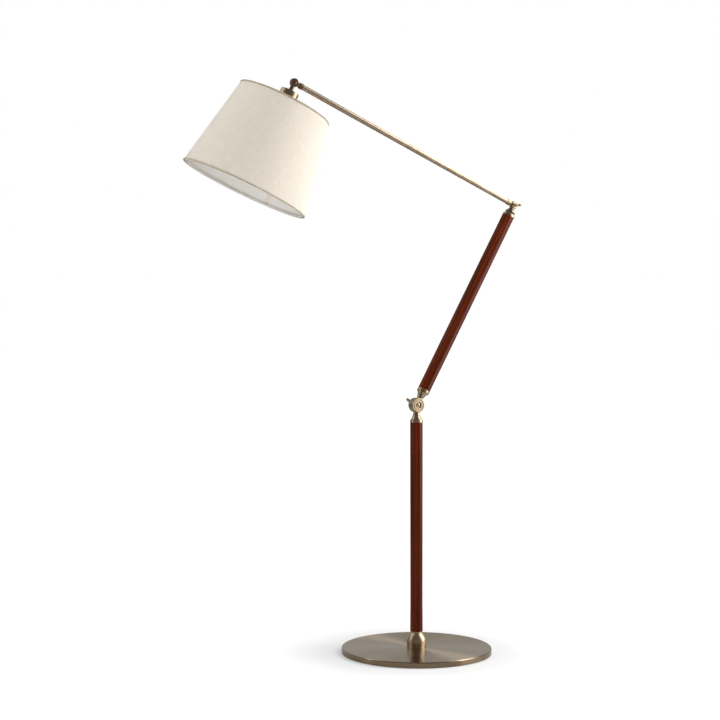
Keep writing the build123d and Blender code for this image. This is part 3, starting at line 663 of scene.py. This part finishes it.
liner_r, liner_z = polar("shade_liner", head_m)
at_middle = np.abs(liner_z - liner_z.min()) < 1e-5
liner_inset = cone_radius(liner_z.min()) - liner_r[at_middle].min()
SEAM_WIDTH = 0.011
SEAM_T = 0.00025
SEAM_END_GAP = 0.0035
SEAM_GLUE = 0.00004
SEAM_SWAY = 0.0004


def inner_seam():
    """The strip of tape that joins the liner's two ends, down the inside of the shade."""
    rows, columns = 60, 12
    start, stop = shade_top_z - SEAM_END_GAP, shade_bottom_z + SEAM_END_GAP
    verts, uv = [], []
    for layer in (0, 1):
        for i in range(rows + 1):
            z = start + (stop - start) * i / rows
            inner = cone_radius(z) - liner_inset - SEAM_GLUE
            sway = SEAM_SWAY * math.sin(2.1 * math.pi * i / rows + 0.6)
            for k in range(columns + 1):
                across = (k / columns - 0.5) * SEAM_WIDTH + sway
                edge = abs(2 * k / columns - 1) ** 8
                r = inner - layer * SEAM_T * (1 - 0.8 * edge)
                t = SEAM_ANGLE + across / inner
                verts.append((r * math.cos(t), r * math.sin(t), z))
                uv.append((across, -z))
    faces = shell_faces(rows, columns)
    piece = new_piece("liner_seam_tape", verts, faces, head_m, "seam", "head", uv)
    return piece


seam_tape = inner_seam()

# ---- base pad -----------------------------------------------------------------------

pad_r, pad_z = polar("base_pad", base_m)
PAD_EDGE_R = 0.0009
PAD_CORNER = 0.0003
PAD_RINGS = 24
FELT_NAP = 0.00012


def felt_pad():
    """The die-cut felt under the base: soft rounded edges and a slightly uneven face."""
    radius, thick = pad_r.max(), pad_z.max()
    rings = [(radius * i / PAD_RINGS, 0.0) for i in range(PAD_RINGS)]
    edge = [(radius - PAD_EDGE_R, 0.0), (radius - PAD_CORNER, PAD_CORNER)]
    edge += [(radius, thick * share) for share in (0.3, 0.5, 0.7)]
    edge += [(radius - PAD_CORNER, thick - PAD_CORNER), (radius - PAD_EDGE_R, thick)]
    outline = rings + edge + [(r, thick) for r, _ in reversed(rings)]
    piece = lathe("felt_pad", outline, base_m, "felt", "base", 256)
    rng = np.random.default_rng(7)
    for vertex in piece.data.vertices:
        if vertex.co.z < thick * 0.2:
            vertex.co.z = rng.uniform(0.0, FELT_NAP)
    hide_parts("base_pad")


felt_pad()

# ---- bulb cap -----------------------------------------------------------------------

cap_r, cap_z = polar("bulb_base", head_m)
CAP_PITCH = 0.00363
THREAD_DEPTH = 0.0009
THREAD_ROWS = 140
THREAD_RUN_OUT = 8
THREAD_TOP = 0.0025
THREAD_LOW = 0.006
CAP_SEGMENTS = 96
BUTTON_FACE = 0.8
BUTTON_EDGE = 0.0007
BUTTON_H = 0.0022
INSULATOR_H = 0.003
INSULATOR_RISE = 0.0006
INSULATOR_BULGE = 0.0012
SHOULDER_IN = 0.0035
SHOULDER_R = 0.0008
SHOULDER_DROP = 0.0012
SKIRT_STEPS = (0.005, 0.0035, 0.0015)
SKIRT_ROUND = 0.0002
SKIRT_LIP = 0.0003


def bulb_cap():
    """The bulb's rolled screw cap: a round thread, a crimped skirt and the contact."""
    high, low = cap_z.max(), cap_z.min()
    radius = cap_r.max()
    root = radius - THREAD_DEPTH
    button_r = cap_r[cap_z > high - 1e-5].max()
    shell_top = high - INSULATOR_H
    profile = [(0.0, high), (button_r * BUTTON_FACE, high), (button_r, high - BUTTON_EDGE)]
    profile += [(button_r, high - BUTTON_H)]
    profile += [(button_r + INSULATOR_BULGE, shell_top + INSULATOR_RISE)]
    profile += [(root - SHOULDER_IN, shell_top), (root - SHOULDER_R, shell_top - SHOULDER_DROP)]
    crest_rows = range(len(profile), len(profile) + THREAD_ROWS + 1)
    thread_top, thread_low = shell_top - THREAD_TOP, low + THREAD_LOW
    for i in range(THREAD_ROWS + 1):
        profile.append((root, thread_top + (thread_low - thread_top) * i / THREAD_ROWS))
    neck, flare, rim = [low + step for step in SKIRT_STEPS]
    profile += [(root + SKIRT_ROUND, neck), (radius - SKIRT_ROUND, flare)]
    profile += [(radius, rim), (radius - SKIRT_LIP, low), (0.0, low)]
    verts, faces = [], []
    for i, (r, z) in enumerate(profile):
        for k in range(CAP_SEGMENTS):
            t = 2 * math.pi * k / CAP_SEGMENTS
            reach = r
            if i in crest_rows:
                share = (i - crest_rows[0]) / THREAD_ROWS
                fade = min(1.0, THREAD_RUN_OUT * share, THREAD_RUN_OUT * (1 - share))
                wave = 0.5 + 0.5 * math.cos(2 * math.pi * z / CAP_PITCH - t)
                reach = r + THREAD_DEPTH * fade * wave
            verts.append((reach * math.cos(t), reach * math.sin(t), z))
    for i in range(len(profile) - 1):
        for k in range(CAP_SEGMENTS):
            a, b = i * CAP_SEGMENTS + k, i * CAP_SEGMENTS + (k + 1) % CAP_SEGMENTS
            faces.append((a, a + CAP_SEGMENTS, b + CAP_SEGMENTS, b))
    piece = new_piece("bulb_screw_cap", verts, faces, head_m, "cap", "head")
    merged = bmesh.new()
    merged.from_mesh(piece.data)
    bmesh.ops.remove_doubles(merged, verts=merged.verts, dist=1e-7)
    merged.to_mesh(piece.data)
    merged.free()
    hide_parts("bulb_base")


bulb_cap()

# ---- wing nuts ----------------------------------------------------------------------


def convex(points):
    """The convex outline round some points, anticlockwise."""

    def half(ordered):
        chain = []
        for p in ordered:
            while len(chain) > 1:
                (ax, ay), (bx, by) = chain[-2], chain[-1]
                if (bx - ax) * (p[1] - ay) - (by - ay) * (p[0] - ax) > 0:
                    break
                chain.pop()
            chain.append(p)
        return chain[:-1]

    ordered = sorted(set(points))
    return half(ordered) + half(ordered[::-1])


EAR_TIP = 0.36
EAR_LAYERS = 8
EAR_ROOT_THICKER = 1.25
EAR_TAPER = 0.45
BOSS_TOP = 0.72
BOSS_EDGE_R = 0.0006
BOSS_TOP_R = 0.0012
WING_TIP_FROM = 0.85


def ear(root, low, high, reach, top, thickness, side):
    """One wing as stacked, shrinking outlines, so that its edges are round."""
    tip_r = top * EAR_TIP
    centre = (reach - tip_r, top - tip_r)
    angles = [2 * math.pi * k / 48 for k in range(48)]
    tip = [(centre[0] + tip_r * math.cos(t), centre[1] + tip_r * math.sin(t)) for t in angles]
    outline = np.array(convex(tip + [(root, low), (root, high)]))
    middle = outline.mean(axis=0)
    verts, faces = [], []
    for i in range(EAR_LAYERS + 1):
        turn = math.pi * (i / EAR_LAYERS - 0.5)
        inset = 0.45 * thickness * (1 - math.cos(turn))
        for x, z in outline:
            away = np.array((x, z)) - middle
            x, z = np.array((x, z)) - away / np.linalg.norm(away) * inset
            taper = EAR_ROOT_THICKER - EAR_TAPER * (x - root) / (reach - root)
            verts.append((side * x, thickness / 2 * math.sin(turn) * taper, z))
    n = len(outline)
    for i in range(EAR_LAYERS):
        for k in range(n):
            a, b = i * n + k, i * n + (k + 1) % n
            faces.append((a, b, b + n, a + n)[::side])
    faces.append(tuple(range(n))[:: -side])
    faces.append(tuple(range(EAR_LAYERS * n, EAR_LAYERS * n + n))[::side])
    return verts, faces


def cast_wing_nut(name, node, joint, outward, body):
    """A cast wing nut over its CAD node: boss and wings run together in soft fillets."""
    co = local_points(node, Matrix.Translation(joints[joint]["pos_m"]))
    axis = np.array(outward)
    along = co @ axis
    radial = co - np.outer(along, axis)
    radii = np.linalg.norm(radial, axis=1)
    x_dir = Vector(radial[radii.argmax()]).normalized()
    height, reach = along.max() - along.min(), radii.max()
    origin = Vector(joints[joint]["pos_m"]) + outward * float(along.min())
    matrix = frame_matrix(origin, outward, outward.cross(x_dir))
    side = np.abs(local_points(node, matrix)[:, 1])
    thickness = 2 * side[radii > WING_TIP_FROM * reach].max()
    boss_r = radii[along < along.min() + 0.0003].max()
    boss_h = height / 2
    hole_r = radii.min() + 0.0002
    boss = rounded(
        [(hole_r, 0.0), (boss_r, 0.0), (boss_r * BOSS_TOP, boss_h), (hole_r, boss_h)],
        [0, BOSS_EDGE_R, BOSS_TOP_R, 0],
    )
    piece = lathe(name, boss, matrix, "brass", body, 96)
    whole = bmesh.new()
    whole.from_mesh(piece.data)
    for sign in (1, -1):
        verts, faces = ear(
            boss_r * 0.55, 0.0008, boss_h * 0.9, reach, height, thickness, sign
        )
        made = [whole.verts.new(matrix @ Vector(v)) for v in verts]
        for face in faces:
            whole.faces.new([made[i] for i in face])
    bmesh.ops.recalc_face_normals(whole, faces=whole.faces)
    whole.to_mesh(piece.data)
    whole.free()
    remesh = piece.modifiers.new("remesh", "REMESH")
    remesh.mode = "VOXEL"
    remesh.voxel_size = thickness / 10
    smooth = piece.modifiers.new("smooth", "SMOOTH")
    smooth.iterations = 5
    graph = bpy.context.evaluated_depsgraph_get()
    mesh = bpy.data.meshes.new_from_object(piece.evaluated_get(graph))
    piece.modifiers.clear()
    piece.data = mesh
    store_local(mesh, matrix)
    mesh.shade_smooth()
    paint(piece, "brass")
    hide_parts(node)


cast_wing_nut("elbow_cast_wing", "elbow_wing_nut", "elbow_wing_turn", back, "elbow_wing")
cast_wing_nut("top_cast_wing", "top_wing_nut", "top_wing_turn", -back, "top_wing")

# ---- stage, light and camera --------------------------------------------------------

FLOOR_SIZE = 400.0
FLOOR_NEAR = 0.24
FLOOR_FAR = 0.8
FLOOR_GLOW = 0.2
WORLD_FRONT = 0.17
WORLD_BEHIND = 0.53
WORLD_TURN_START = -0.1
WORLD_TURN_END = 0.6


def build_floor():
    mesh = bpy.data.meshes.new("floor")
    h = FLOOR_SIZE / 2
    mesh.from_pydata([(-h, -h, 0), (h, -h, 0), (h, h, 0), (-h, h, 0)], [], [(0, 1, 2, 3)])
    floor = bpy.data.objects.new("floor", mesh)
    bpy.context.scene.collection.objects.link(floor)
    s = Shader("white_floor")
    s.set(roughness=1.0, specular_ior_level=0.0, emission_color=(1, 1, 1, 1))
    distance = s.node("ShaderNodeVectorMath", operation="LENGTH")
    s.link(s.object_coords(), distance.inputs[0])
    glow = s.remap(distance.outputs["Value"], FLOOR_NEAR, FLOOR_FAR, FLOOR_GLOW, 1.05)
    seen = s.node("ShaderNodeLightPath").outputs["Is Camera Ray"]
    s.link(s.math("MULTIPLY", glow, seen), s.bsdf.inputs["Emission Strength"])
    colour = s.mix(seen, (0.45, 0.45, 0.45), (0.56, 0.56, 0.56))
    mesh.materials.append(s.finish(colour))


build_floor()

azimuth = math.radians(CAMERA_AZIMUTH)
view_dir = Vector((math.sin(azimuth), math.cos(azimuth), 0))
view_right = Vector((math.cos(azimuth), -math.sin(azimuth), 0))

camera = bpy.data.objects.new("camera", bpy.data.cameras.new("camera"))
bpy.context.scene.collection.objects.link(camera)
camera.data.lens = LENS_MM
camera.data.sensor_width = 36
camera.data.clip_end = 100
camera.location = view_right * CAMERA_SIDE - view_dir * CAMERA_DISTANCE + up * CAMERA_HEIGHT
camera.rotation_euler = (math.pi / 2, 0, -azimuth)
bpy.context.scene.camera = camera


def softbox(name, right, toward, height, target_height, width, tall, radiance, shows="both"):
    """An area light placed by metres right of and towards the camera, aimed at the lamp.

    shows says whether it lights surfaces ("diffuse"), shines in them ("glossy") or both.
    """
    data = bpy.data.lights.new(name, "AREA")
    data.shape = "RECTANGLE"
    data.size, data.size_y = width, tall
    data.energy = radiance * math.pi * width * tall
    light = bpy.data.objects.new(name, data)
    bpy.context.scene.collection.objects.link(light)
    light.location = view_right * right - view_dir * toward + up * height
    aim = Vector((0, 0, target_height)) - light.location
    light.rotation_euler = aim.to_track_quat("-Z", "Y").to_euler()
    light.visible_diffuse = shows != "glossy"
    light.visible_glossy = shows != "diffuse"


softbox("key_right", 2.4, 0.0, 1.5, 1.0, 2.0, 3.0, 5.8, "diffuse")
softbox("key_shine", 2.3, 0.0, 1.5, 1.0, 2.0, 2.9, 3.8, "glossy")
softbox("fill_left", -2.4, -0.1, 2.7, 1.1, 2.2, 2.2, 1.1)
softbox("strip_left", -2.3, 0.5, 0.8, 0.8, 0.35, 1.1, 3.0, "glossy")
softbox("low_left", -1.4, 1.1, 0.3, 1.2, 1.4, 0.6, 4.6, "diffuse")
softbox("front_top", -0.2, 2.1, 3.8, 0.9, 4.0, 2.6, 2.7, "diffuse")
softbox("back_top", 1.8, -1.9, 2.8, 0.2, 1.6, 1.4, 3.4)

world = bpy.data.worlds.new("studio")
bpy.context.scene.world = world
world.use_nodes = True
tree = world.node_tree
tree.nodes.clear()
output = tree.nodes.new("ShaderNodeOutputWorld")
mixer = tree.nodes.new("ShaderNodeMixShader")
path = tree.nodes.new("ShaderNodeLightPath")
white = tree.nodes.new("ShaderNodeBackground")
white.inputs["Color"].default_value = (1, 1, 1, 1)
ambient = tree.nodes.new("ShaderNodeBackground")
direction = tree.nodes.new("ShaderNodeTexCoord")
behind = tree.nodes.new("ShaderNodeVectorMath")
behind.operation = "DOT_PRODUCT"
behind.inputs[1].default_value = view_dir
level = tree.nodes.new("ShaderNodeMapRange")
level.inputs["From Min"].default_value = WORLD_TURN_START
level.inputs["From Max"].default_value = WORLD_TURN_END
level.inputs["To Min"].default_value = WORLD_FRONT
level.inputs["To Max"].default_value = WORLD_BEHIND
tree.links.new(direction.outputs["Generated"], behind.inputs[0])
tree.links.new(behind.outputs["Value"], level.inputs["Value"])
tree.links.new(level.outputs["Result"], ambient.inputs["Strength"])
tree.links.new(path.outputs["Is Camera Ray"], mixer.inputs[0])
tree.links.new(ambient.outputs[0], mixer.inputs[1])
tree.links.new(white.outputs[0], mixer.inputs[2])
tree.links.new(mixer.outputs[0], output.inputs["Surface"])

bpy.context.scene.view_settings.view_transform = "Standard"
bpy.context.scene.view_settings.look = "None"
